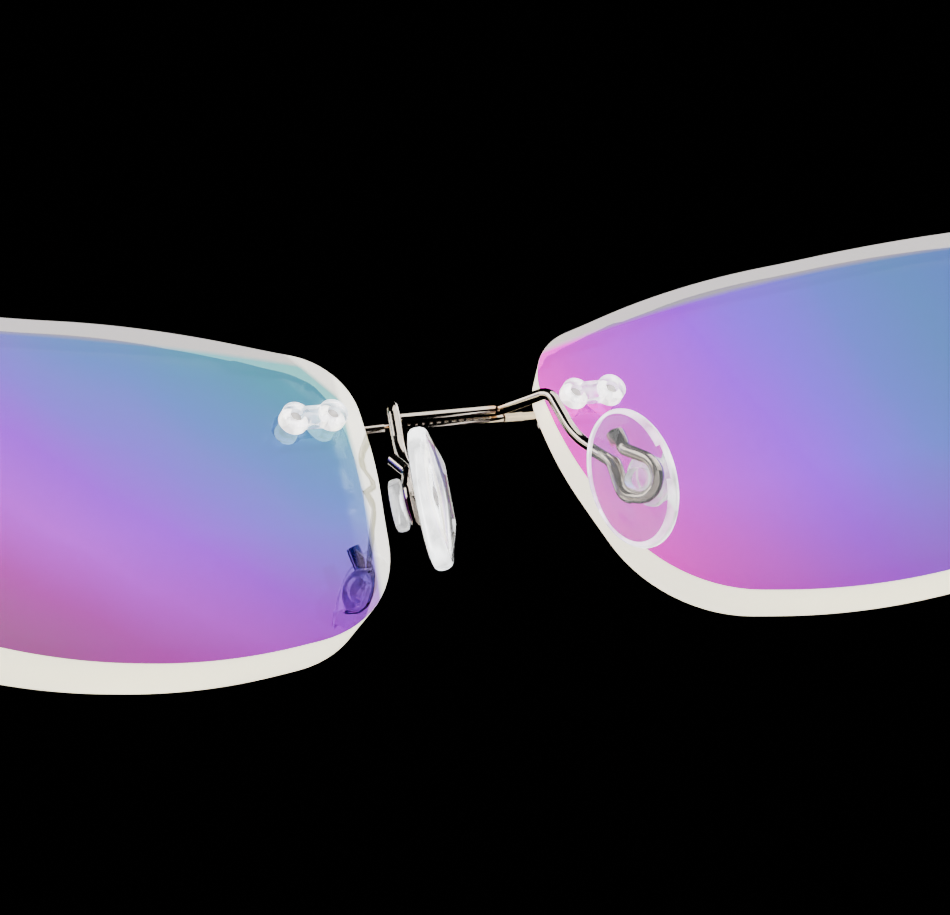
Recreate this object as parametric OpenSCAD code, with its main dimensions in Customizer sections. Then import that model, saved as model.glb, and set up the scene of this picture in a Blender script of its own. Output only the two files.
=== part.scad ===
// Rimless eyeglasses: two drilled lenses, a wire bridge, a wire that carries
// two clear nose pads, and two folding temples. Millimetres, +Z up.
// The glasses stand open on their lens bottoms and temple tips. The front faces
// -Y and the wearer is at +Y, so the wearer's left is +X.

/* [Lenses] */
// Width of each lens
lens_w = 50; // [44:1:58]
// Height of each lens
lens_h = 30; // [26:1:38]
// Gap between the two lenses at the nose
nose_gap = 15; // [13:0.2:19]
// Turn of each lens about the vertical, round the face
wrap = 12; // [6:1:14]
// Lean of the whole front, top forward
front_tilt = 8; // [4:1:12]
// Radius of the hollow back surface
back_r = 100; // [85:1:130]
// Radius of the bulging front surface
front_r = 120; // [110:1:150]
// Thickness between the two surfaces' poles
pole_t = 3; // [2.8:0.1:4.5]

/* [Lens mounting] */
// Distance from the nasal edge of the lens to its pair of pins
nasal_inset = 3.4; // [3.1:0.1:6]
// Distance from the temporal edge of the lens to its pair of pins
temporal_inset = 4.5; // [4:0.1:7]
// Height of the pins over the middle of the lens
pin_height = 6.3; // [2:0.1:8]
// Distance between the two pins of a pair
pin_pitch = 3; // [2.8:0.1:4]
// Diameter of a pin
pin_d = 0.94; // [0.7:0.02:1.2]
// Diameter of a sleeve of the clear plug
sleeve_d = 1.84; // [1.7:0.02:2.2]
// Diameter of a barrel of the clear plug
barrel_d = 2.2; // [2.1:0.05:2.8]
// Height of a barrel behind the lens
barrel_h = 1; // [0.8:0.1:2.4]
// Thickness of the metal plates on the front of the lens
plate_t = 0.8; // [0.6:0.05:1.2]
// Height of the metal plates on the front of the lens
plate_h = 2.2; // [1.9:0.1:2.8]

/* [Wires] */
// Diameter of the bridge wire
bridge_d = 0.86; // [0.8:0.02:1.2]
// Diameter of the wire that carries the pads
arm_d = 0.9; // [0.8:0.02:1.1]
// Diameter of the wire of the end pieces
end_d = 1.2; // [1:0.05:1.6]

/* [Nose pads] */
// Length of a nose pad
pad_l = 10.6; // [9.6:0.2:15]
// Width of a nose pad
pad_w = 6.8; // [6:0.2:9]
// Thickness of a nose pad
pad_t = 2.2; // [1.8:0.1:2.8]
// Distance between the middles of the two pads
pad_gap = 15.8; // [14:0.2:20]
// Turn of each pad from the middle plane
pad_splay = 32; // [25:1:38]
// Diameter of the neck that the wire loop holds
neck_d = 1.6; // [1.4:0.1:2.6]

/* [Hinges] */
// Diameter of the hinge knuckles
knuckle_d = 2.7; // [2.4:0.1:3.4]
// Height of the whole hinge
hinge_h = 4.2; // [3.6:0.1:5.5]
// Diameter of the hinge screw's shank
screw_d = 1.2; // [1:0.05:1.4]

/* [Temples] */
// Distance from the hinge pin to the bend behind the ear
temple_l = 96; // [85:1:110]
// Height of the temple bar
temple_h = 2.4; // [1.8:0.1:3]
// Thickness of the temple bar
temple_t = 1.1; // [0.9:0.05:1.6]
// Angle that the tip drops behind the ear
ear_drop = 32; // [26:1:45]
// Radius of the bend behind the ear
ear_r = 25; // [18:1:35]
// Diameter of the end of the temple tip
tip_d = 4.4; // [3.8:0.1:5.4]

/* [Hidden] */

$fn = 48;
eps = 0.01;

// Clearances: bonded pieces, running pieces, a pad on its wire
bond = 0.02;
run = 0.04;
pad_play = 0.1;

// ---- Placing the front ----
// The front is drawn upright about the bridge and then leaned and lifted.

// The middle of the left lens, with the nasal edge half the nose gap out
edge_sag = pow(lens_w/2, 2)/(2*back_r);
lens_x = nose_gap/2 + lens_w/2*cos(wrap) + edge_sag*sin(wrap);
lens_y = 2.75;
lens_z = -5.6;
// The front surface's pole sits out and down, so the lens is thickest there
pole_u = 1;
pole_v = -4;

// Height of the back and of the front surface over the lens's own plane
function back_y(u, v) = back_r - sqrt(back_r*back_r - u*u - v*v);
function front_y(u, v) = front_r - pole_t
    - sqrt(front_r*front_r - pow(u - pole_u, 2) - pow(v - pole_v, 2));
// From the left lens's own frame (u out, v up) to the upright front
function from_lens(u, y, v) = [lens_x + u*cos(wrap) - y*sin(wrap),
                               lens_y + u*sin(wrap) + y*cos(wrap),
                               lens_z + v];
function lean(p) = [p.x, p.y*cos(front_tilt) - p.z*sin(front_tilt),
                    p.y*sin(front_tilt) + p.z*cos(front_tilt)];

// ---- Lens outline ----
// Corners of the outline about the middle of the lens, u out and v up, each
// [u, v, radius], for a lens 50 wide and 30 high
corners = [[24.9, 11.6, 7], [9, 15, 80], [-10.4, 15, 70], [-25, 10.5, 5.5],
           [-24.7, 1.7, 30], [-21.6, -12.1, 12], [-6.4, -15, 65], [8, -15, 65],
           [22.6, -11.9, 11], [25, 2, 30]];

function unit(v) = v/norm(v);
// The points of one rounded corner, about 1 mm or 5 degrees apart, with a smaller
// radius where its sides are too short for the full one
function rounded(a, b, c, full_r) =
    let (d1 = unit(b - a), d2 = unit(c - b),
         turn = acos(min(1, d1*d2)),
         r = min(full_r, 0.5*min(norm(b - a), norm(c - b))/tan(turn/2)),
         side = sign(d1.x*d2.y - d1.y*d2.x),
         start = b - d1*r*tan(turn/2),
         centre = start + side*r*[-d1.y, d1.x],
         a0 = atan2(start.y - centre.y, start.x - centre.x),
         n = ceil(max(turn/5, r*turn*PI/180)))
    [for (i = [0:n]) centre + r*[cos(a0 + side*turn*i/n), sin(a0 + side*turn*i/n)]];

fit_u = lens_w/50;
fit_v = lens_h/30;
n_corners = len(corners);
function corner(i) = let (c = corners[(i + n_corners) % n_corners]) [c.x*fit_u, c.y*fit_v];
outline = [for (i = [0:n_corners - 1])
               each rounded(corner(i - 1), corner(i), corner(i + 1),
                            corners[i].z*min(fit_u, fit_v))];

// The front is lifted until its lowest lens edge stands at zero
lift = -min([for (p = outline) each [lean(from_lens(p.x, front_y(p.x, p.y), p.y)).z,
                                     lean(from_lens(p.x, back_y(p.x, p.y), p.y)).z]]);

// ---- Pins and plates ----
nasal_u = -lens_w/2 + nasal_inset;
temporal_u = lens_w/2 - temporal_inset;
plate_l = pin_pitch + plate_h + 0.8;
plate_gap = 0.03;
wire_proud = 0.06;
wire_bed = bridge_d/2 + plate_gap + wire_proud;
end_bed = end_d/2 + plate_gap + wire_proud;

// Frame on the front surface at (u, v): x outwards, y towards the wearer
function seat_yaw(u) = asin((u - pole_u)/front_r);
function seat_pitch(v) = -asin((v - pole_v)/front_r);
module on_front(u, v)
    translate([pole_u, front_r - pole_t, pole_v])
        rotate([0, 0, seat_yaw(u)]) rotate([seat_pitch(v), 0, 0])
            translate([0, -front_r, 0]) children();
// The same frame's point [x, y, z] in the upright front
function rot_z(a) = [[cos(a), -sin(a), 0], [sin(a), cos(a), 0], [0, 0, 1]];
function rot_x(a) = [[1, 0, 0], [0, cos(a), -sin(a)], [0, sin(a), cos(a)]];
function rot_y(a) = [[cos(a), 0, sin(a)], [0, 1, 0], [-sin(a), 0, cos(a)]];
function seat(u, v, p) =
    let (q = [pole_u, front_r - pole_t, pole_v]
             + rot_z(seat_yaw(u))*rot_x(seat_pitch(v))*[p.x, p.y - front_r, p.z])
    from_lens(q.x, q.y, q.z);

// ---- Hinge and row frame ----
seat_out = lean(seat(temporal_u, pin_height, [0, 0, 0]));
hinge_out = 9.2;
hinge_back = 15.5;
hinge_x = seat_out.x + hinge_out;
hinge_z = seat_out.z + lift;
bar_start = 4.6;
// Straight end of the tip, as long as brings its round end down to zero
tip_r = tip_d/2;
tip_run = (hinge_z - ear_r*(1 - cos(ear_drop)) - tip_r)/sin(ear_drop);
reach_y = seat_out.y + hinge_back + temple_l + ear_r*sin(ear_drop)
          + tip_run*cos(ear_drop) + tip_r;
front_most = lean(seat(nasal_u, pin_height, [-plate_l/2, -plate_t - plate_gap, plate_h/3])).y;
shift_y = -(reach_y + front_most)/2;
hinge_y = seat_out.y + hinge_back + shift_y;

function to_row(p) = lean(p) + [0, shift_y, lift];
module front() translate([0, shift_y, lift]) rotate([front_tilt, 0, 0]) children();
module in_lens() translate([lens_x, lens_y, lens_z]) rotate([0, 0, wrap]) children();
// side is 1 for the wearer's left and -1 for the right
module on_side(side) if (side > 0) children(); else mirror([1, 0, 0]) children();

// ---- Wires ----
// Straight stretches run a little way into the bends, and are a hair thicker
lap = 0.05;
hair = 0.01;
// A rod of radius r from a to b
module rod(a, b, r) {
    d = b - a;
    translate(a) rotate([0, acos(d.z/norm(d)), atan2(d.y, d.x)])
        cylinder(r = r, h = norm(d));
}
function bend_angle(p, i) = acos(min(1, unit(p[i] - p[i - 1])*unit(p[i + 1] - p[i])));
// The length on each side of corner i that its bend takes up
function bend_cut(p, bends, i) =
    i == 0 || i == len(p) - 1 ? 0 : bends[i]*tan(bend_angle(p, i)/2);
// A round wire of radius r through the points p, each corner an arc
module wire(p, bends, r) {
    for (i = [0:len(p) - 2]) {
        d = unit(p[i + 1] - p[i]);
        rod(p[i] + d*(bend_cut(p, bends, i) - lap),
            p[i + 1] - d*(bend_cut(p, bends, i + 1) - lap), r);
    }
    for (i = [1:len(p) - 2]) {
        d1 = unit(p[i] - p[i - 1]);
        d2 = unit(p[i + 1] - p[i]);
        up = unit(cross(d1, d2));
        inward = cross(up, d1);
        c = p[i] - d1*bend_cut(p, bends, i) + inward*bends[i];
        // columns: from the centre to the start, along the wire, the axis
        multmatrix([[-inward.x, d1.x, up.x, c.x],
                    [-inward.y, d1.y, up.y, c.y],
                    [-inward.z, d1.z, up.z, c.z],
                    [0, 0, 0, 1]])
            rotate_extrude(angle = bend_angle(p, i), $fn = 96)
                translate([bends[i], 0]) circle(r = r - hair, $fn = 32);
    }
}
// The other half of a symmetric route, and the whole of it
function mirrored(p) = [for (i = [len(p) - 1:-1:0]) [-p[i].x, p[i].y, p[i].z]];
function reversed(p) = [for (i = [len(p) - 1:-1:0]) p[i]];

// ---- Bridge ----
bridge_y = -1.35;
bridge_z = 0.6;
collar_in = 4.9;
collar_out = 6.9;
collar_d = bridge_d + 0.14;
wire_rise = 0.65;
bridge_bend = seat(nasal_u, pin_height, [-plate_l/2 + 0.4, -wire_bed, wire_rise]);
bridge_end = seat(nasal_u, pin_height, [0, -wire_bed, wire_rise]);

// A flat plate with round ends on the lens's front, with its two pin holes
module plate() {
    half = (plate_l - plate_h)/2;
    difference() {
        translate([0, -plate_gap, 0]) rotate([90, 0, 0])
            linear_extrude(height = plate_t) {
                square([2*half, plate_h], center = true);
                for (x = [-half, half]) translate([x, 0]) circle(d = plate_h);
            }
        at_pins() translate([0, 0, -2]) cylinder(d = pin_d + 2*bond, h = 4);
    }
}
// Both pins of a pair, with z towards the wearer
module at_pins()
    for (x = [-pin_pitch/2, pin_pitch/2]) translate([x, 0, 0]) rotate([-90, 0, 0]) children();
module hole_room(u)
    on_front(u, pin_height) at_pins() translate([0, 0, -3]) cylinder(d = pin_d + 2*bond, h = 6);

knee = [collar_in - 0.3, bridge_y, bridge_z];
half_route = [knee, bridge_bend, bridge_end];
half_bends = [6, 3, 0];
module collar() {
    d = unit(bridge_bend - knee);
    rod(knee + d*(collar_in - knee.x), knee + d*(collar_out - knee.x), collar_d/2);
}
module bridge() color("silver") front() difference() {
    union() {
        wire(concat(mirrored(half_route), half_route),
             concat(reversed(half_bends), half_bends), bridge_d/2);
        for (side = [1, -1]) on_side(side) {
            collar();
            in_lens() on_front(nasal_u, pin_height) plate();
        }
    }
    for (side = [1, -1]) on_side(side) in_lens() hole_room(nasal_u);
}

// ---- Nose pads and the wire that carries them ----
pad_lean = 12;
pad_roll = 12;
pad_at = [pad_gap/2, 6.7, -11.4];
pad_turn = rot_z(90 - pad_splay)*rot_x(-pad_lean)*rot_y(pad_roll);
loop_y = -pad_t/2 - pad_play - arm_d/2;
loop_r = neck_d/2 + pad_play + arm_d/2;
// A point of the loop's plane, across and up the pad, in the upright front
function on_loop(x, z, behind = 0) = pad_at + pad_turn*[x, loop_y - behind, z];
// The wire lies behind the bridge and a little over it, and touches it
lie = 13;
cross_y = bridge_y + (bridge_d + arm_d)/2*cos(lie);
cross_z = bridge_z + (bridge_d + arm_d)/2*sin(lie);

arm_route = [[4.35, cross_y, cross_z], [6.5, 3.65, -0.9], [7.2, 3.3, -5],
             on_loop(-loop_r, 2), on_loop(-loop_r, -loop_r), on_loop(loop_r, -loop_r),
             on_loop(loop_r, 0.65*loop_r), on_loop(-0.45, 2.4), on_loop(-1.1, 3.8, 1)];
arm_bends = [0.8, 1.1, 5, 1.2, loop_r, loop_r, 1.4, 0.9, 0];

module nose_pad_arms() color("silver") front()
    wire(concat(mirrored(arm_route), arm_route),
         concat(reversed(arm_bends), arm_bends), arm_d/2);

button_t = 0.9;
button_l = 3.9;
button_w = 2.7;
pad_dome = 15;
module pad() {
    back = -pad_t/2;
    neck_l = arm_d + 2*pad_play;
    // the cushion, flat behind and domed to the nose
    intersection() {
        rotate([90, 0, 0]) linear_extrude(height = pad_t, center = true)
            polygon([for (a = [0:6:354]) [pad_w/2*cos(a), pad_l/2*sin(a)]]);
        translate([0, pad_t/2 - pad_dome, 0]) sphere(r = pad_dome, $fn = 180);
    }
    translate([0, back + eps, 0]) rotate([90, 0, 0]) cylinder(d = neck_d, h = neck_l + 2*eps);
    translate([0, back - neck_l, 0]) rotate([90, 0, 0]) linear_extrude(height = button_t) {
        square([button_w, button_l - button_w], center = true);
        for (z = [-1, 1]) translate([0, z*(button_l - button_w)/2]) circle(d = button_w);
    }
}
module nose_pad(side) color("lightcyan", 0.6) front() on_side(side)
    translate(pad_at) rotate([0, 0, 90 - pad_splay]) rotate([-pad_lean, 0, 0])
        rotate([0, pad_roll, 0]) pad();

// ---- Lenses ----
module lens_blank() rotate([90, 0, 0])
    linear_extrude(height = 40, center = true) polygon(outline);
module lens(side) color("plum", 0.5) front() on_side(side) in_lens() difference() {
    intersection() {
        lens_blank();
        translate([pole_u, front_r - pole_t, pole_v]) sphere(r = front_r, $fn = 360);
    }
    translate([0, back_r, 0]) sphere(r = back_r, $fn = 360);
    for (u = [nasal_u, temporal_u]) on_front(u, pin_height) at_pins()
        translate([0, 0, -3]) cylinder(d = sleeve_d + 2*bond, h = 14);
}

// ---- Pins and clear plugs ----
// Thickness of the lens along a pair of pins
function thick_at(u) = back_y(u, pin_height) - front_y(u, pin_height);
module pins(side, u) color("gray") front() on_side(side) in_lens()
    on_front(u, pin_height) at_pins() translate([0, 0, -plate_gap - plate_t])
        cylinder(d = pin_d, h = plate_gap + plate_t + thick_at(u) + barrel_h - 0.4);
module plug(side, u) color("white", 0.6) front() on_side(side) in_lens() {
    web_t = 0.9;
    web_h = 1.5;
    difference() {
        union() {
            // two barrels and the web between them, seated on the hollow back
            intersection() {
                on_front(u, pin_height) {
                    at_pins() cylinder(d = barrel_d, h = thick_at(u) + barrel_h);
                    translate([-pin_pitch/2, 0, -web_h/2])
                        cube([pin_pitch, thick_at(u) + web_t, web_h]);
                }
                translate([0, back_r, 0]) sphere(r = back_r, $fn = 360);
            }
            on_front(u, pin_height) at_pins() translate([0, 0, 0.2])
                cylinder(d = sleeve_d, h = thick_at(u) + barrel_h/2);
        }
        on_front(u, pin_height) at_pins() translate([0, 0, -1])
            cylinder(d = pin_d + 2*bond, h = 20);
    }
}

// ---- End pieces and hinges ----
block_w = 2.2;
ear_gap = 0.05;
tongue_h = hinge_h*0.44;
ear_h = (hinge_h - tongue_h)/2 - ear_gap;
block_y = -knuckle_d/2 - 0.9;
block_l = 2.2;

// Frame of the left hinge pin
module at_hinge() translate([hinge_x, hinge_y, hinge_z]) children();

module end_piece(side) color("silver") on_side(side) {
    start = to_row(seat(temporal_u, pin_height, [0, -end_bed, 0]));
    leave = to_row(seat(temporal_u, pin_height, [hinge_out - 1.6, -end_bed, 0]));
    hold = [hinge_x, hinge_y + block_y - block_l - lap - bond, hinge_z];
    turn = [hold.x, hold.y - 5.5, hold.z];
    difference() {
        union() {
            wire([start, leave, turn, hold], [0, 1.8, 4, 0], end_d/2);
            front() in_lens() on_front(temporal_u, pin_height) plate();
        }
        front() in_lens() hole_room(temporal_u);
    }
}

// An eye of the hinge, with its arm out to y
module eye(y, h) {
    cylinder(d = knuckle_d, h = h);
    translate([-block_w/2, min(0, y), 0]) cube([block_w, abs(y), h]);
}
head_h = 0.5;
head_d = screw_d + 0.8;
module hinge_front(side) color("silver") on_side(side) at_hinge() difference() {
    union() {
        for (z = [-hinge_h/2, hinge_h/2 - ear_h]) translate([0, 0, z]) eye(block_y, ear_h);
        translate([-block_w/2, block_y - block_l, -hinge_h/2])
            cube([block_w, block_l, hinge_h]);
    }
    translate([0, 0, -hinge_h]) cylinder(d = screw_d + 2*run, h = 2*hinge_h);
    translate([0, 0, hinge_h/2 - head_h]) cylinder(d = head_d + 2*run, h = hinge_h);
}
module hinge_temple(side) color("silver") on_side(side) at_hinge() difference() {
    root_y = knuckle_d/2 + 0.3;
    union() {
        translate([0, 0, -tongue_h/2]) eye(root_y + 0.5, tongue_h);
        translate([-block_w/2, root_y, -hinge_h/2 + 0.5])
            cube([block_w, bar_start - root_y, hinge_h - 1]);
    }
    translate([0, 0, -hinge_h]) cylinder(d = screw_d + 2*run, h = 2*hinge_h);
}
module hinge_screw(side) color("gray") on_side(side) at_hinge() difference() {
    union() {
        translate([0, 0, hinge_h/2 - head_h]) cylinder(d = head_d, h = head_h);
        translate([0, 0, -hinge_h/2]) cylinder(d = screw_d, h = hinge_h - head_h + eps);
    }
    translate([-head_d, -0.15, hinge_h/2 - 0.25]) cube([2*head_d, 0.3, 1]);
}

// ---- Temples and tips ----
core_d = 1.2;
sleeve_from = temple_l - 32;
sleeve_r = 1.7;
// Route of the temple's core from the bar's end to the end of the tip
ear_turn = ear_r*tan(ear_drop/2);
ear_corner = [0, temple_l + ear_turn, 0];
tip_end = ear_corner + (tip_run + ear_turn)*[0, cos(ear_drop), -sin(ear_drop)];
tip_flare = 7;

module temple(side) color("silver") on_side(side) at_hinge() {
    core_end = ear_corner + (ear_turn + tip_run - 4)*[0, cos(ear_drop), -sin(ear_drop)];
    // flat bar with round edges
    translate([0, bar_start, 0]) rotate([-90, 0, 0])
        linear_extrude(height = sleeve_from - bar_start) {
            square([temple_t, temple_h - temple_t], center = true);
            for (z = [-1, 1]) translate([0, z*(temple_h - temple_t)/2]) circle(d = temple_t);
        }
    wire([[0, sleeve_from, 0], ear_corner, core_end], [0, ear_r, 0], core_d/2);
}
module temple_tip(side) color("saddlebrown") on_side(side) at_hinge() difference() {
    down = [0, cos(ear_drop), -sin(ear_drop)];
    union() {
        wire([[0, sleeve_from + bond + lap, 0], ear_corner, tip_end], [0, ear_r, 0], sleeve_r);
        // the tip grows from the sleeve to its full round end
        translate(ear_corner + ear_turn*down) rotate([-90 - ear_drop, 0, 0]) {
            cylinder(r1 = sleeve_r - lap, r2 = tip_r, h = tip_flare);
            translate([0, 0, tip_flare - eps]) cylinder(r = tip_r, h = tip_run - tip_flare + eps);
            translate([0, 0, tip_run]) sphere(r = tip_r);
        }
    }
    wire([[0, sleeve_from - 1, 0], ear_corner, tip_end - 3*down], [0, ear_r, 0],
         core_d/2 + bond);
}

lens(1);  // lens_left
lens(-1);  // lens_right
bridge();
nose_pad_arms();
nose_pad(1);  // nose_pad_left
nose_pad(-1);  // nose_pad_right
plug(1, nasal_u);  // nasal_plug_left
plug(-1, nasal_u);  // nasal_plug_right
plug(1, temporal_u);  // temporal_plug_left
plug(-1, temporal_u);  // temporal_plug_right
pins(1, nasal_u);  // bridge_pins_left
pins(-1, nasal_u);  // bridge_pins_right
end_piece(1);  // end_piece_left
end_piece(-1);  // end_piece_right
pins(1, temporal_u);  // end_piece_pins_left
pins(-1, temporal_u);  // end_piece_pins_right
hinge_front(1);  // hinge_front_left
hinge_front(-1);  // hinge_front_right
hinge_temple(1);  // hinge_temple_left
hinge_temple(-1);  // hinge_temple_right
hinge_screw(1);  // hinge_screw_left
hinge_screw(-1);  // hinge_screw_right
temple(1);  // temple_left
temple(-1);  // temple_right
temple_tip(1);  // temple_tip_left
temple_tip(-1);  // temple_tip_right
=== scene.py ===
"""Looks for a pair of rimless eyeglasses: coated lenses with ground edges, a brazed
wire bridge, clear nose pads and plugs, spring-hard temples and dark tips.

Sizes are in metres. The wearer's left is +X and the front faces -Y."""

import math

import bpy
from bpy.props import FloatProperty, FloatVectorProperty, IntProperty, PointerProperty
from mathutils import Matrix, Vector


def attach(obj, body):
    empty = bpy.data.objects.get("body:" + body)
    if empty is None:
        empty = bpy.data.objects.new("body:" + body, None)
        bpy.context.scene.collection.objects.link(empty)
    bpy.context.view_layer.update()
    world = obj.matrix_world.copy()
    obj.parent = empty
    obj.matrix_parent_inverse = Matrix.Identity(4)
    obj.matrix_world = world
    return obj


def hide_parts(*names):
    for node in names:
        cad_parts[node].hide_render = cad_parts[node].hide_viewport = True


bl_info = {
    "name": "Rimless Eyeglasses",
    "version": (1, 0, 0),
    "blender": (4, 5, 0),
    "location": "View3D > Sidebar > Eyeglasses",
    "description": "Finishes the coated lenses, wires, pads, plugs and temples",
    "category": "Object",
}

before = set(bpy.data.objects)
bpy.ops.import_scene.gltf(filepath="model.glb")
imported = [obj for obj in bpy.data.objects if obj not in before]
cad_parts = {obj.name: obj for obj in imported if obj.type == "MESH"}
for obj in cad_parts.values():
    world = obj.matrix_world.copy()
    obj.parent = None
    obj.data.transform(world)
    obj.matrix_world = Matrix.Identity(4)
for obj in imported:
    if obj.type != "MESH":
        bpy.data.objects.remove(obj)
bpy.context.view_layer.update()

MM = 0.001
SIDES = {"left": 1, "right": -1}

# The upright front is drawn about the bridge, then leaned back and lifted
FRONT_TILT = math.radians(8)
FRONT_AT = Vector((0, -77.5935, 20.386)) * MM
FRONT = Matrix.Translation(FRONT_AT) @ Matrix.Rotation(FRONT_TILT, 4, "X")
LENS_AT = Vector((32.6034, 2.75, -5.6)) * MM
LENS_WRAP = math.radians(12)
# A nose pad: its middle, and its turn about the vertical, the width and the length
PAD_AT = Vector((7.9, 6.7, -11.4)) * MM
PAD_TURN = (
    Matrix.Rotation(math.radians(58), 4, "Z")
    @ Matrix.Rotation(math.radians(-12), 4, "X")
    @ Matrix.Rotation(math.radians(12), 4, "Y")
)
# Where the pad wire meets and leaves the bridge, and the middle of the groove between
# the two, both in the upright front
BRAZE_ENDS = [Vector((x, -0.6, 0.8)) * MM for x in (-4.4, 4.4)]
GROOVE_AT = Vector((0, -0.87, 0.434)) * MM

LENS_IOR = 1.5
PLUG_IOR = 1.49
ACETATE_IOR = 1.48
# Weaker than silicone's, so that the wire behind a pad keeps its thickness
PAD_IOR = 1.25

# A face is part of a lens's ground edge where the cosine of the angle between its
# normal and the lens's axis is below this
EDGE_COSINE = 0.75
# Outside this share of a pad's oval lies its rim, which glows with a painted highlight, and
# below this share of its thickness the post that carries it
PAD_RIM = 0.84
PAD_BACK = -0.52
# A nose pad's side: height as a share of half its thickness, and distance in, in mm
PAD_PROFILE = (
    (-1, 0.7), (-0.86, 0.22), (-0.70, 0.06), (-0.45, 0.0), (-0.12, 0.02),
    (0.14, 0.16), (0.30, 0.42), (0.36, 0.72), (0.44, 1.05),
    (0.66, 1.75), (0.88, 2.5), (0.99, 3.05), (1, 3.33),
)
# Behind a pad, in mm: its neck, the oval button that the neck carries, and the dish
# that is cut from inside the button's face to beyond it
NECK_R = 0.8
NECK_HEIGHT = 1.2
BUTTON_START = 1.1
BUTTON_HALF_W, BUTTON_HALF_L = 1.35, 1.95
BUTTON_HEIGHT = 0.9
BUTTON_ROUND = 0.28
DISH_HALF_W, DISH_HALF_L = 0.75, 1.3
DISH_START, DISH_END = 0.62, 1.2

# The seam's ripple, as two waves: share of its radius, turn from ring to ring, start
RIPPLES = ((0.22, 1.9, 0), (0.16, 3.1, 1))

# Broken edges of the plugs and pins, in mm, and the sharpest angle left alone
PLUG_ROUND = 0.14
PIN_ROUND = 0.06
SHARP_ANGLE = math.radians(40)
# Corners closer than this are one, in mm
MERGE_GAP = 0.0005

# Soft panels: place and size in metres, the look that holds their power, and colour
PANELS = {
    # the key fills what the hollow backs of the lenses mirror
    "key": ((-0.95, 1.35, 1.25), (2.7, 2.2), "key_power", (1, 0.985, 0.97)),
    "fill": ((1.1, -1.5, 0.9), (1.4, 1.0), "fill_power", (0.97, 0.98, 1)),
    "side_right": ((-1.7, -0.5, 0.85), (1.7, 1.1), "side_power", (1, 1, 1)),
    "side_left": ((1.7, 0.1, 0.85), (1.7, 1.1), "side_power", (1, 1, 1)),
}
PANEL_AIM = Vector((0, -0.06, 0.015))
SURROUND = (0.0006, 0.0006, 0.0006, 1)

CAMERA_AT = Vector((140.641, 171.137, -108.834)) * MM
CAMERA_RIGHT = Vector((-0.88763, 0.35883, -0.28872))
CAMERA_UP = Vector((-0.08524, 0.48806, 0.86864))
CAMERA_LENS = 160.455
CAMERA_SENSOR = 36


# ---- Sizes and colours that a user would change ----
class LensLook(bpy.types.PropertyGroup):
    mirror: FloatProperty(
        name="Coating strength",
        description="Share of the light that the coating reflects",
        default=0.5, min=0, max=1, subtype="FACTOR",
    )
    polish: FloatProperty(
        name="Roughness",
        description="Roughness of the polished surfaces",
        default=0.015, min=0, max=1, subtype="FACTOR",
    )
    edge_round: FloatProperty(
        name="Edge round",
        description="Small round where the ground edge meets the polished surfaces",
        default=0.12 * MM, min=0, unit="LENGTH",
    )
    edge_color: FloatVectorProperty(
        name="Ground edge",
        description="Colour of the frosted ground edge",
        default=(0.92, 0.88, 0.66), size=3, min=0, max=1, subtype="COLOR",
    )
    # Painted glow: the ground edge emits this light itself, as emission
    painted_edge_glow: FloatProperty(
        name="Edge glow",
        description="Light that the lens pipes into its ground edge",
        default=2.1, min=0, max=4,
    )


class WireLook(bpy.types.PropertyGroup):
    color: FloatVectorProperty(
        name="Metal",
        description="Colour of the polished wire",
        default=(0.52, 0.45, 0.38), size=3, min=0, max=1, subtype="COLOR",
    )
    tint: FloatVectorProperty(
        name="Heat tint",
        description="Straw colour that brazing leaves beside a joint",
        default=(0.62, 0.33, 0.16), size=3, min=0, max=1, subtype="COLOR",
    )
    roughness: FloatProperty(
        name="Roughness",
        description="Roughness of the polished wire",
        default=0.09, min=0, max=1, subtype="FACTOR",
    )
    seam_radius: FloatProperty(
        name="Seam radius",
        description="Radius of the brazed seam between the two wires",
        default=0.12 * MM, min=0, unit="LENGTH",
    )
    seam_length: FloatProperty(
        name="Seam length",
        description="Length of the brazed seam",
        default=7.6 * MM, min=0, unit="LENGTH",
    )


class PadLook(bpy.types.PropertyGroup):
    length: FloatProperty(
        name="Length", description="Length of a nose pad",
        default=10.6 * MM, min=0, unit="LENGTH",
    )
    width: FloatProperty(
        name="Width", description="Width of a nose pad",
        default=6.8 * MM, min=0, unit="LENGTH",
    )
    thickness: FloatProperty(
        name="Thickness", description="Thickness in the middle of a nose pad",
        default=2.2 * MM, min=0, unit="LENGTH",
    )
    color: FloatVectorProperty(
        name="Moulding", description="Colour of the clear soft moulding",
        default=(0.95, 0.96, 0.97), size=3, min=0, max=1, subtype="COLOR",
    )
    sides: IntProperty(
        name="Sides", description="Points round the pad's outline",
        default=72, min=24,
    )


class TempleLook(bpy.types.PropertyGroup):
    tip_color: FloatVectorProperty(
        name="Tip", description="Main colour of the temple tips",
        default=(0.018, 0.011, 0.008), size=3, min=0, max=1, subtype="COLOR",
    )
    tip_streak: FloatVectorProperty(
        name="Tip streaks", description="Colour of the streaks in the temple tips",
        default=(0.10, 0.045, 0.018), size=3, min=0, max=1, subtype="COLOR",
    )
    bevel: FloatProperty(
        name="Edge break", description="Broken edge on the hinge blocks",
        default=0.1 * MM, min=0, unit="LENGTH",
    )


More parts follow.
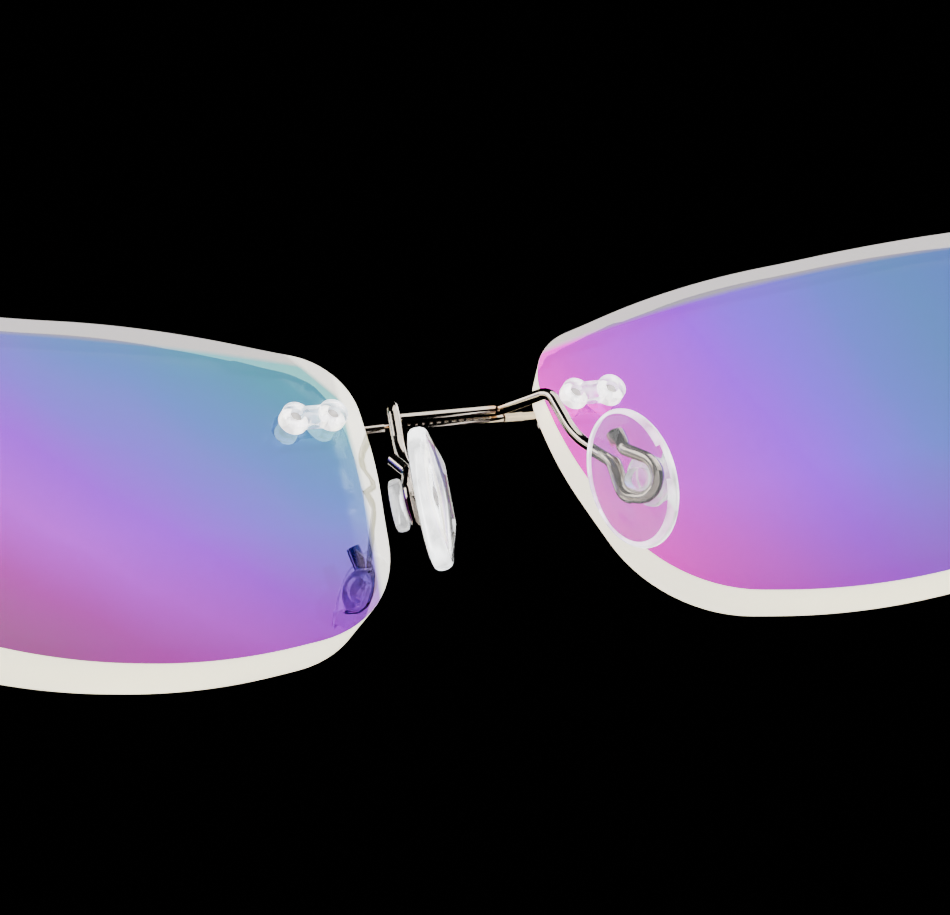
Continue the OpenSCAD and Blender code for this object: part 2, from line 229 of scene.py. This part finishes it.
class StageLook(bpy.types.PropertyGroup):
    floor_color: FloatVectorProperty(
        name="Floor", description="Colour of the plain floor",
        default=(0.78, 0.77, 0.75), size=3, min=0, max=1, subtype="COLOR",
    )
    floor_size: FloatProperty(
        name="Floor size", description="Length of each side of the floor",
        default=4.0, min=0, unit="LENGTH",
    )
    key_power: FloatProperty(
        name="Key panel", description="Power of the large soft panel behind the wearer",
        default=66.0, min=0, unit="POWER",
    )
    fill_power: FloatProperty(
        name="Fill panel", description="Power of the soft panel in front",
        default=9.0, min=0, unit="POWER",
    )
    side_power: FloatProperty(
        name="Side panels", description="Power of each soft panel beside the glasses",
        default=30.0, min=0, unit="POWER",
    )


LOOKS = {
    "eyewear_lens": LensLook,
    "eyewear_wire": WireLook,
    "eyewear_pad": PadLook,
    "eyewear_temple": TempleLook,
    "eyewear_stage": StageLook,
}


# ---- Material helpers ----
class Paint:
    """A node material with its shader, and short ways to add what feeds it."""

    def __init__(self, name):
        self.material = bpy.data.materials.new(name)
        self.material.use_nodes = True
        self.tree = self.material.node_tree
        self.shader = self.tree.nodes["Principled BSDF"]
        self.place = self.tree.nodes.new("ShaderNodeTexCoord").outputs["Object"]

    def set(self, **values):
        for name, value in values.items():
            socket = self.shader.inputs[name.replace("_", " ")]
            socket.default_value = (*value, 1) if len_of(value) == 3 else value
        return self

    def link(self, output, name):
        self.tree.links.new(output, self.shader.inputs[name])

    def noise(self, scale, detail=4, roughness=0.5, stretch=(1, 1, 1)):
        mapping = self.tree.nodes.new("ShaderNodeMapping")
        mapping.inputs["Scale"].default_value = stretch
        self.tree.links.new(self.place, mapping.inputs["Vector"])
        node = self.tree.nodes.new("ShaderNodeTexNoise")
        node.inputs["Scale"].default_value = scale
        node.inputs["Detail"].default_value = detail
        node.inputs["Roughness"].default_value = roughness
        self.tree.links.new(mapping.outputs["Vector"], node.inputs["Vector"])
        return node.outputs["Fac"]

    def along(self, direction, start, end):
        """0 to 1 along a direction, between two distances from the origin."""
        dot = self.tree.nodes.new("ShaderNodeVectorMath")
        dot.operation = "DOT_PRODUCT"
        dot.inputs[1].default_value = direction
        self.tree.links.new(self.place, dot.inputs[0])
        return self.span(dot.outputs["Value"], start, end)

    def near(self, point, inner, outer):
        """1 within inner of a point, falling to 0 at outer."""
        far = self.tree.nodes.new("ShaderNodeVectorMath")
        far.operation = "DISTANCE"
        far.inputs[1].default_value = point
        self.tree.links.new(self.place, far.inputs[0])
        return self.span(far.outputs["Value"], outer, inner)

    def span(self, value, start, end, low=0.0, high=1.0):
        node = self.tree.nodes.new("ShaderNodeMapRange")
        node.inputs["From Min"].default_value = start
        node.inputs["From Max"].default_value = end
        node.inputs["To Min"].default_value = low
        node.inputs["To Max"].default_value = high
        self.tree.links.new(value, node.inputs["Value"])
        return node.outputs["Result"]

    def sum(self, one, other, weight):
        node = self.tree.nodes.new("ShaderNodeMath")
        node.operation = "MULTIPLY_ADD"
        node.inputs[1].default_value = weight
        self.tree.links.new(other, node.inputs[0])
        self.tree.links.new(one, node.inputs[2])
        return node.outputs["Value"]

    def ramp(self, value, stops):
        node = self.tree.nodes.new("ShaderNodeValToRGB")
        elements = node.color_ramp.elements
        while len(elements) < len(stops):
            elements.new(0.5)
        for element, (at, color) in zip(elements, stops):
            element.position = at
            element.color = (*color, 1)
        self.tree.links.new(value, node.inputs["Fac"])
        return node.outputs["Color"]

    def mix(self, amount, one, other):
        node = self.tree.nodes.new("ShaderNodeMix")
        node.data_type = "RGBA"
        self.tree.links.new(amount, node.inputs["Factor"])
        for socket, value in ((node.inputs[6], one), (node.inputs[7], other)):
            if len_of(value) == 3:
                socket.default_value = (*value, 1)
            else:
                self.tree.links.new(value, socket)
        return node.outputs[2]

    def bump(self, height, distance, strength=1.0):
        node = self.tree.nodes.new("ShaderNodeBump")
        node.inputs["Distance"].default_value = distance
        node.inputs["Strength"].default_value = strength
        self.tree.links.new(height, node.inputs["Height"])
        self.link(node.outputs["Normal"], "Normal")


def len_of(value):
    """The number of parts of a colour or vector, or 0 for a plain number or socket."""
    return len(value) if isinstance(value, (tuple, list)) or hasattr(value, "hsv") else 0


# The coating's reflection colours, painted across each lens as a fixed gradient: the way they
# run in the world, where along it they start and end, in mm, and the colours. On the left lens
# they run upwards and towards the nose, on the right lens outwards from the nose
PAINTED_COATING_REFLECTIONS = {
    "left": (
        (math.cos(math.radians(130)), 0, math.sin(math.radians(130))),
        (-24.6, 14.6),
        [
            (0.00, (0.29, 0.08, 0.15)), (0.14, (0.38, 0.02, 0.33)),
            (0.29, (0.46, 0.00, 0.71)), (0.43, (0.32, 0.00, 0.76)),
            (0.57, (0.17, 0.10, 0.67)), (0.71, (0.08, 0.18, 0.53)),
            (0.86, (0.04, 0.25, 0.34)), (1.00, (0.03, 0.21, 0.21)),
        ],
    ),
    "right": (
        (math.cos(math.radians(165)), 0, math.sin(math.radians(165))),
        (12.0, 49.6),
        [
            (0.00, (0.86, 0.00, 0.56)), (0.14, (0.64, 0.00, 0.60)),
            (0.29, (0.45, 0.00, 0.75)), (0.43, (0.30, 0.00, 0.86)),
            (0.57, (0.17, 0.07, 0.78)), (0.71, (0.09, 0.14, 0.57)),
            (0.86, (0.06, 0.17, 0.42)), (1.00, (0.06, 0.15, 0.42)),
        ],
    ),
}


# Arcs that follow the edge of a lens, in mm from its middle, with a painted pale band outside
# each that stands for the bright ground edge seen through the lens: the top, and on the left
# also the nose corner and nose side
TOP_PAINTED_BAND = ((0, -67), 82, (0.30, 0.29, 0.32))
PAINTED_EDGE_BANDS = {
    "left": (
        TOP_PAINTED_BAND,
        ((25.0, -25.1), 60, (0.60, 0.59, 0.60)),
        ((43.5, 9.9), 68.5, (0.92, 0.92, 0.90)),
    ),
    "right": (TOP_PAINTED_BAND,),
}
# In mm: how far inside an arc the coating is still full and where the painted pale band takes
# over, and how far back the arc's middle lies
RIM_IN = 1.45
RIM_OUT = 1.05
RIM_DEPTH = 2


def lens_place(side):
    """From a lens's own place, nose side to -X, to the world."""
    sign = SIDES[side]
    return (
        FRONT
        @ Matrix.Diagonal((sign, 1, 1, 1))
        @ Matrix.Translation(LENS_AT)
        @ Matrix.Rotation(LENS_WRAP, 4, "Z")
    )


def coated_glass(side, look):
    direction, (start, end), stops = PAINTED_COATING_REFLECTIONS[side]
    paint = Paint(f"coated_glass_{side}")
    paint.set(
        Metallic=look.mirror, Roughness=look.polish, IOR=LENS_IOR,
        Transmission_Weight=1.0, Specular_Tint=(0.25, 0.04, 0.6),
    )
    # painted reflection colour: a fixed gradient across the lens, with a random cloud in it
    level = paint.along(direction, start * MM, end * MM)
    cloud = paint.noise(55, detail=2)
    level = paint.sum(level, paint.span(cloud, 0, 1, -0.5, 0.5), 0.16)
    color = paint.ramp(level, stops)
    # painted shade: both turn a darker, duller magenta towards the bottom
    low = paint.span(paint.along((0, 0, 1), 1.5 * MM, 12 * MM), 1, 0, 0, 0.55)
    color = paint.mix(low, color, (0.22, 0.02, 0.2))
    # painted light: along these arcs the coating fades to a pale band that stands for the
    # bright ground edge
    for (x, z), radius, rim in PAINTED_EDGE_BANDS[side]:
        middle = lens_place(side) @ (Vector((x, RIM_DEPTH, z)) * MM)
        inside = paint.near(middle, (radius - RIM_IN) * MM, (radius - RIM_OUT) * MM)
        color = paint.mix(inside, rim, color)
    paint.link(color, "Base Color")
    return paint.material


def ground_edge(look):
    paint = Paint("ground_edge")
    color = tuple(look.edge_color)
    # painted glow: the ground edge emits its own colour at the glow strength
    paint.set(
        Roughness=0.7, IOR=LENS_IOR, Transmission_Weight=0.35,
        Emission_Color=color, Emission_Strength=look.painted_edge_glow,
    )
    grit = paint.noise(2600, detail=3)
    shade = paint.noise(160, detail=3)
    paint.link(paint.mix(shade, color, tuple(c * 0.86 for c in color)), "Base Color")
    paint.bump(grit, 0.02 * MM, 0.5)
    return paint.material


def polished_wire(look, name="polished_wire", tints=()):
    paint = Paint(name)
    color = tuple(look.color)
    paint.set(Metallic=1.0)
    patch = paint.noise(420, detail=5, roughness=0.65)
    base = paint.mix(
        paint.span(patch, 0.35, 0.75), color, tuple(c * 0.85 for c in color)
    )
    for point, inner, outer in tints:
        heat = paint.near(point, inner, outer)
        base = paint.mix(heat, base, tuple(look.tint))
    paint.link(base, "Base Color")
    scuff = paint.noise(1500, detail=6, roughness=0.7)
    paint.link(
        paint.span(scuff, 0.3, 0.8, look.roughness * 0.6, look.roughness * 1.9), "Roughness"
    )
    paint.bump(scuff, 0.002 * MM, 0.2)
    return paint.material


def pin_steel():
    paint = Paint("pin_steel")
    paint.set(Metallic=1.0)
    rings = paint.noise(900, detail=4, stretch=(1, 6, 1))
    paint.link(paint.mix(rings, (0.55, 0.52, 0.49), (0.30, 0.28, 0.26)), "Base Color")
    paint.link(paint.span(rings, 0, 1, 0.2, 0.4), "Roughness")
    paint.bump(rings, 0.01 * MM, 0.4)
    return paint.material


def clear_moulding(name, color, milk, roughness, ior, grain, glow):
    """A clear plastic or silicone; milk is the share that is cloudy, and glow is the strength
    of a painted glow with painted streaks, which stands for bright reflections on the piece."""
    paint = Paint(name)
    paint.set(IOR=ior, Transmission_Weight=1.0 - milk, Emission_Strength=glow)
    # painted streaks in the glow: darker and lighter emission colour
    streak = paint.span(paint.noise(1.6 * grain, detail=3), 0.38, 0.62)
    paint.link(paint.mix(streak, tuple(c * 0.25 for c in color), color), "Emission Color")
    haze = paint.noise(grain, detail=4)
    paint.link(paint.mix(haze, color, tuple(c * 0.9 for c in color)), "Base Color")
    paint.link(paint.span(haze, 0.2, 0.8, roughness * 0.5, roughness * 1.8), "Roughness")
    paint.bump(haze, 0.03 * MM, 0.25)
    return paint.material


def streaked_acetate(look):
    paint = Paint("streaked_acetate")
    paint.set(Coat_Weight=0.6, Coat_Roughness=0.05, IOR=ACETATE_IOR)
    streak = paint.noise(170, detail=6, roughness=0.6, stretch=(1, 0.22, 1))
    body = paint.mix(
        paint.span(streak, 0.46, 0.72), tuple(look.tip_color), tuple(look.tip_streak)
    )
    paint.link(body, "Base Color")
    wear = paint.noise(900, detail=5)
    paint.link(paint.span(wear, 0, 1, 0.12, 0.3), "Roughness")
    paint.bump(wear, 0.01 * MM, 0.3)
    return paint.material


# ---- Mesh helpers ----
def only(obj):
    """Makes obj the one selected and active object."""
    if bpy.context.object and bpy.context.object.mode != "OBJECT":
        bpy.ops.object.mode_set(mode="OBJECT")
    bpy.ops.object.select_all(action="DESELECT")
    obj.select_set(True)
    bpy.context.view_layer.objects.active = obj
    return obj


def dress(obj, body, slot, *materials):
    """Gives a finished piece its materials and its body; slot is not used."""
    obj.data.materials.clear()
    for material in materials:
        obj.data.materials.append(material)
    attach(obj, body)
    return obj


def merged_copy(node, name, edge_round=0.0, smooth=32, flat=0.2):
    """A closed, smooth copy of a frame node that stands for it, with broken edges."""
    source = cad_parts[node]
    copy = bpy.data.objects.new(name, source.data.copy())
    copy.matrix_world = source.matrix_world.copy()
    bpy.context.scene.collection.objects.link(copy)
    only(copy)
    if copy.data.has_custom_normals:
        bpy.ops.mesh.customdata_custom_splitnormals_clear()
    bpy.ops.object.transform_apply(location=True, rotation=True, scale=True)
    bpy.ops.object.mode_set(mode="EDIT")
    bpy.ops.mesh.select_all(action="SELECT")
    bpy.ops.mesh.remove_doubles(threshold=MERGE_GAP * MM)
    bpy.ops.mesh.dissolve_limited(angle_limit=math.radians(flat))
    bpy.ops.object.mode_set(mode="OBJECT")
    if edge_round:
        bevel = copy.modifiers.new("Edge round", "BEVEL")
        bevel.width = edge_round
        bevel.segments = 2
        bevel.limit_method = "ANGLE"
        bevel.angle_limit = SHARP_ANGLE
        bpy.ops.object.modifier_apply(modifier=bevel.name)
    bpy.ops.object.shade_smooth_by_angle(angle=math.radians(smooth))
    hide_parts(node)
    return copy


def lens_axis(side):
    """The direction from a lens's front to its back."""
    sign = SIDES[side]
    return (
        Matrix.Rotation(FRONT_TILT, 3, "X")
        @ Matrix.Rotation(LENS_WRAP * sign, 3, "Z")
        @ Vector((0, 1, 0))
    )


# ---- Operators, one for each group of pieces ----
class EYEWEAR_OT_lenses(bpy.types.Operator):
    """Makes both lenses with polished, coated surfaces and frosted ground edges"""

    bl_idname = "eyewear.lenses"
    bl_label = "Coated lenses"

    def execute(self, context):
        look = context.scene.eyewear_lens
        edge = ground_edge(look)
        for side in SIDES:
            lens = merged_copy(f"lens_{side}", f"coated_lens_{side}", look.edge_round)
            dress(lens, "front", "coated_lens", coated_glass(side, look), edge)
            axis = lens_axis(side)
            for face in lens.data.polygons:
                if abs(face.normal.dot(axis)) < EDGE_COSINE:
                    face.material_index = 1
        return {"FINISHED"}


class EYEWEAR_OT_wires(bpy.types.Operator):
    """Finishes the bridge, the pad wire and the end pieces, and brazes the first two"""

    bl_idname = "eyewear.wires"
    bl_label = "Wires"

    def execute(self, context):
        look = context.scene.eyewear_wire
        right, left = (FRONT @ end for end in BRAZE_ENDS)
        tints = [(right, 0.4 * MM, 1.5 * MM), (left, 0.2 * MM, 0.8 * MM)]
        plain = polished_wire(look)
        tinted = polished_wire(look, "tinted_wire", tints)
        for node, metal in (
            ("bridge", plain), ("nose_pad_arms", tinted),
            ("end_piece_left", plain), ("end_piece_right", plain),
        ):
            wire = merged_copy(node, f"polished_{node}", smooth=40)
            dress(wire, "front", "polished_wire", metal)
        self.braze(look)
        return {"FINISHED"}

    def braze(self, look):
        """The rippled seam along the underside of the two touching wires."""
        paint = polished_wire(look, "brazed_seam")
        steps = 40
        half, taper = look.seam_length / 2, look.seam_radius * 0.8
        rings = [(-half, taper)]
        for step in range(1, steps):
            ripple = sum(part * math.sin(turn * step + start) for part, turn, start in RIPPLES)
            rings.append((look.seam_length * (step / steps - 0.5), look.seam_radius * ripple))
        rings.append((half, taper))
        seam = stacked_ovals(look.seam_radius, look.seam_radius, rings, 16)
        seam.name = "brazed_seam"
        seam.data.transform(Matrix.Rotation(math.radians(90), 4, "Z"))
        smooth = seam.modifiers.new("Flow", "SUBSURF")
        smooth.levels = smooth.render_levels = 1
        bpy.ops.object.modifier_apply(modifier=smooth.name)
        seam.data.transform(FRONT @ Matrix.Translation(GROOVE_AT))
        bpy.ops.object.shade_smooth()
        dress(seam, "front", "polished_wire", paint)


class EYEWEAR_OT_nose_pads(bpy.types.Operator):
    """Models the clear nose pads: rounded rim, shallow dome, neck and oval button"""

    bl_idname = "eyewear.nose_pads"
    bl_label = "Nose pads"

    def execute(self, context):
        look = context.scene.eyewear_pad
        color = tuple(look.color)
        # painted light: all three glow; the rim strongest, as a painted highlight round the
        # pad, the post less, the clear face barely
        clear = clear_moulding("clear_silicone", color, 0.05, 0.03, PAD_IOR, 500, 0.02)
        rim = clear_moulding("clear_silicone_rim", color, 0.3, 0.08, PAD_IOR, 280, 2.2)
        post = clear_moulding("clear_silicone_post", color, 0.25, 0.08, PAD_IOR, 500, 0.5)
        pad = self.model(look)
        zones = []
        for face in pad.data.polygons:
            x, y, z = face.center
            across = (2 * x / look.width) ** 2 + (2 * z / look.length) ** 2
            behind = y < PAD_BACK * look.thickness
            zones.append(2 if behind else int(across > PAD_RIM))
        for side, sign in SIDES.items():
            one = bpy.data.objects.new(f"clear_nose_pad_{side}", pad.data.copy())
            context.scene.collection.objects.link(one)
            only(one)
            flip = Matrix.Diagonal((sign, 1, 1, 1))
            one.data.transform(FRONT @ flip @ Matrix.Translation(PAD_AT) @ PAD_TURN)
            if sign < 0:
                one.data.flip_normals()
            bpy.ops.object.shade_smooth_by_angle(angle=math.radians(50))
            dress(one, f"pad_{side}", "clear_silicone", clear, rim, post)
            for face, zone in zip(one.data.polygons, zones):
                face.material_index = zone
            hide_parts(f"nose_pad_{side}")
        bpy.data.objects.remove(pad)
        return {"FINISHED"}

    def model(self, look):
        """One pad about its own middle: length along Z, nose side to +Y."""
        half_w, half_l, half_t = look.width / 2, look.length / 2, look.thickness / 2
        rings = [(height * half_t, inset * MM) for height, inset in PAD_PROFILE]
        pad = stacked_ovals(half_w, half_l, rings, look.sides)
        neck = rounded_oval(
            NECK_R * MM, NECK_R * MM, -half_t - NECK_HEIGHT * MM, 0.0, 32, 0.0
        )
        top = -half_t - BUTTON_START * MM
        button = rounded_oval(
            BUTTON_HALF_W * MM, BUTTON_HALF_L * MM,
            top - BUTTON_HEIGHT * MM, top, 40, BUTTON_ROUND * MM,
        )
        dish = rounded_oval(
            DISH_HALF_W * MM, DISH_HALF_L * MM,
            top - DISH_END * MM, top - DISH_START * MM, 32, 0.0,
        )
        for tool, how in ((neck, "UNION"), (button, "UNION"), (dish, "DIFFERENCE")):
            only(pad)
            cut = pad.modifiers.new("Join", "BOOLEAN")
            cut.operation = how
            cut.solver = "EXACT"
            cut.object = tool
            bpy.ops.object.modifier_apply(modifier=cut.name)
            bpy.data.objects.remove(tool)
        return pad


def stacked_ovals(half_w, half_l, rings, sides):
    """A closed form of ovals, one over the other, each (height, distance in)."""
    bpy.ops.object.select_all(action="DESELECT")
    bpy.ops.mesh.primitive_circle_add(vertices=sides, radius=1.0, fill_type="NGON")
    form = bpy.context.object
    bpy.ops.object.mode_set(mode="EDIT")
    bpy.ops.mesh.select_all(action="SELECT")
    was = (1.0, 1.0, 0.0)
    for number, (height, inset) in enumerate(rings):
        now = (half_w - inset, half_l - inset, height)
        rise = (0, 0, now[2] - was[2])
        if number:
            bpy.ops.mesh.extrude_region_move(TRANSFORM_OT_translate={"value": rise})
        else:
            bpy.ops.transform.translate(value=rise)
        bpy.ops.transform.resize(
            value=(now[0] / was[0], now[1] / was[1], 1), center_override=(0, 0, height)
        )
        was = now
    bpy.ops.mesh.select_all(action="SELECT")
    bpy.ops.mesh.normals_make_consistent(inside=False)
    bpy.ops.object.mode_set(mode="OBJECT")
    # the stack rises along +Z; lay it down so that it rises along +Y
    form.data.transform(Matrix.Rotation(math.radians(-90), 4, "X"))
    return form


def rounded_oval(half_w, half_l, low, high, sides, round_r):
    """A short oval post between two heights along Y; its rims are round if round_r is."""
    if round_r:
        slope = round_r * 0.3
        rings = [
            (low, round_r), (low + slope, slope), (low + round_r, 0.0),
            (high - round_r, 0.0), (high - slope, slope), (high, round_r),
        ]
    else:
        rings = [(low, 0.0), ((low + high) / 2, 0.0), (high, 0.0)]
    return stacked_ovals(half_w, half_l, rings, sides)


class EYEWEAR_OT_plugs(bpy.types.Operator):
    """Finishes the clear plugs behind the lenses and the pins that they hold"""

    bl_idname = "eyewear.plugs"
    bl_label = "Plugs and pins"

    def execute(self, context):
        white = (0.95, 0.94, 0.99)
        # painted glow with painted streaks makes the plugs show bright and milky
        clear = clear_moulding("clear_plug", white, 0.2, 0.06, PLUG_IOR, 700, 1.3)
        steel = pin_steel()
        for side in SIDES:
            for node in (f"nasal_plug_{side}", f"temporal_plug_{side}"):
                plug = merged_copy(node, f"clear_{node}", PLUG_ROUND * MM)
                dress(plug, "front", "clear_plug", clear)
            for node in (f"bridge_pins_{side}", f"end_piece_pins_{side}"):
                pins = merged_copy(node, f"turned_{node}", PIN_ROUND * MM)
                dress(pins, "front", "pin_steel", steel)
        return {"FINISHED"}


class EYEWEAR_OT_temples(bpy.types.Operator):
    """Finishes the hinges, their screws, the temples and the acetate tips"""

    bl_idname = "eyewear.temples"
    bl_label = "Hinges and temples"

    def execute(self, context):
        look = context.scene.eyewear_temple
        metal = polished_wire(context.scene.eyewear_wire, "polished_temple")
        steel = pin_steel()
        acetate = streaked_acetate(look)
        for side in SIDES:
            arm = f"temple_{side}_arm"
            for node, body, slot, paint, bevel in (
                (f"hinge_front_{side}", "front", "polished_wire", metal, look.bevel),
                (f"hinge_screw_{side}", "front", "pin_steel", steel, look.bevel / 2),
                (f"hinge_temple_{side}", arm, "polished_wire", metal, look.bevel),
                (f"temple_{side}", arm, "polished_wire", metal, 0.0),
                (f"temple_tip_{side}", arm, "tip_acetate", acetate, look.bevel),
            ):
                dress(merged_copy(node, f"finished_{node}", bevel), body, slot, paint)
        return {"FINISHED"}


class EYEWEAR_OT_stage(bpy.types.Operator):
    """Sets the floor, the soft panels, the dark surround and the camera"""

    bl_idname = "eyewear.stage"
    bl_label = "Stage"

    def execute(self, context):
        look = context.scene.eyewear_stage
        bpy.ops.object.select_all(action="DESELECT")
        bpy.ops.mesh.primitive_plane_add(size=look.floor_size)
        floor = bpy.context.object
        floor.name = "floor"
        floor.data.materials.append(self.floor_paint(look))
        # polished wire and coatings mirror the dark surround below, not the floor
        floor.visible_glossy = False
        for name, (place, size, power, color) in PANELS.items():
            self.panel(name, place, size, getattr(look, power), color)
        world = bpy.data.worlds.new("dark surround")
        world.use_nodes = True
        world.node_tree.nodes["Background"].inputs["Color"].default_value = SURROUND
        context.scene.world = world
        self.camera(context)
        return {"FINISHED"}

    def floor_paint(self, look):
        """Pale from above and clear from below, where the camera looks up through it."""
        paint = Paint("pale_floor")
        mottle = paint.noise(9, detail=3)
        color = tuple(look.floor_color)
        paint.link(paint.mix(mottle, color, tuple(c * 0.97 for c in color)), "Base Color")
        paint.set(Roughness=0.6)
        nodes, links = paint.tree.nodes, paint.tree.links
        clear = nodes.new("ShaderNodeBsdfTransparent")
        side = nodes.new("ShaderNodeNewGeometry")
        both = nodes.new("ShaderNodeMixShader")
        links.new(side.outputs["Backfacing"], both.inputs["Fac"])
        links.new(paint.shader.outputs["BSDF"], both.inputs[1])
        links.new(clear.outputs["BSDF"], both.inputs[2])
        links.new(both.outputs["Shader"], nodes["Material Output"].inputs["Surface"])
        return paint.material

    def panel(self, name, place, size, power, color):
        """A rectangular soft panel that faces the glasses."""
        light = bpy.data.lights.new(name, "AREA")
        light.shape = "RECTANGLE"
        light.size, light.size_y = size
        light.energy = power
        light.color = color
        lamp = bpy.data.objects.new(name, light)
        lamp.location = place
        aim = PANEL_AIM - lamp.location
        lamp.rotation_euler = aim.to_track_quat("-Z", "Y").to_euler()
        lamp.visible_camera = False
        bpy.context.scene.collection.objects.link(lamp)

    def camera(self, context):
        data = bpy.data.cameras.new("camera")
        data.lens = CAMERA_LENS
        data.sensor_width = CAMERA_SENSOR
        data.clip_start = 0.01
        camera = bpy.data.objects.new("camera", data)
        back = CAMERA_RIGHT.cross(CAMERA_UP)
        turn = Matrix((CAMERA_RIGHT, CAMERA_UP, back)).transposed()
        camera.matrix_world = Matrix.Translation(CAMERA_AT) @ turn.to_4x4()
        context.scene.collection.objects.link(camera)
        context.scene.camera = camera


OPERATORS = (
    EYEWEAR_OT_lenses,
    EYEWEAR_OT_wires,
    EYEWEAR_OT_nose_pads,
    EYEWEAR_OT_plugs,
    EYEWEAR_OT_temples,
    EYEWEAR_OT_stage,
)


class EYEWEAR_PT_panel(bpy.types.Panel):
    """Lists the pieces of the eyeglasses and their sizes and colours"""

    bl_idname = "EYEWEAR_PT_panel"
    bl_label = "Rimless eyeglasses"
    bl_space_type = "VIEW_3D"
    bl_region_type = "UI"
    bl_category = "Eyeglasses"

    def draw(self, context):
        for name, look in LOOKS.items():
            box = self.layout.box()
            for prop in look.__annotations__:
                box.prop(getattr(context.scene, name), prop)
        for operator in OPERATORS:
            self.layout.operator(operator.bl_idname)


CLASSES = (*LOOKS.values(), *OPERATORS, EYEWEAR_PT_panel)


def register():
    for cls in CLASSES:
        bpy.utils.register_class(cls)
    for name, look in LOOKS.items():
        setattr(bpy.types.Scene, name, PointerProperty(type=look))


def unregister():
    for name in LOOKS:
        delattr(bpy.types.Scene, name)
    for cls in reversed(CLASSES):
        bpy.utils.unregister_class(cls)


def main():
    register()
    bpy.ops.eyewear.lenses()
    bpy.ops.eyewear.wires()
    bpy.ops.eyewear.nose_pads()
    bpy.ops.eyewear.plugs()
    bpy.ops.eyewear.temples()
    bpy.ops.eyewear.stage()


if __name__ == "__main__":
    main()
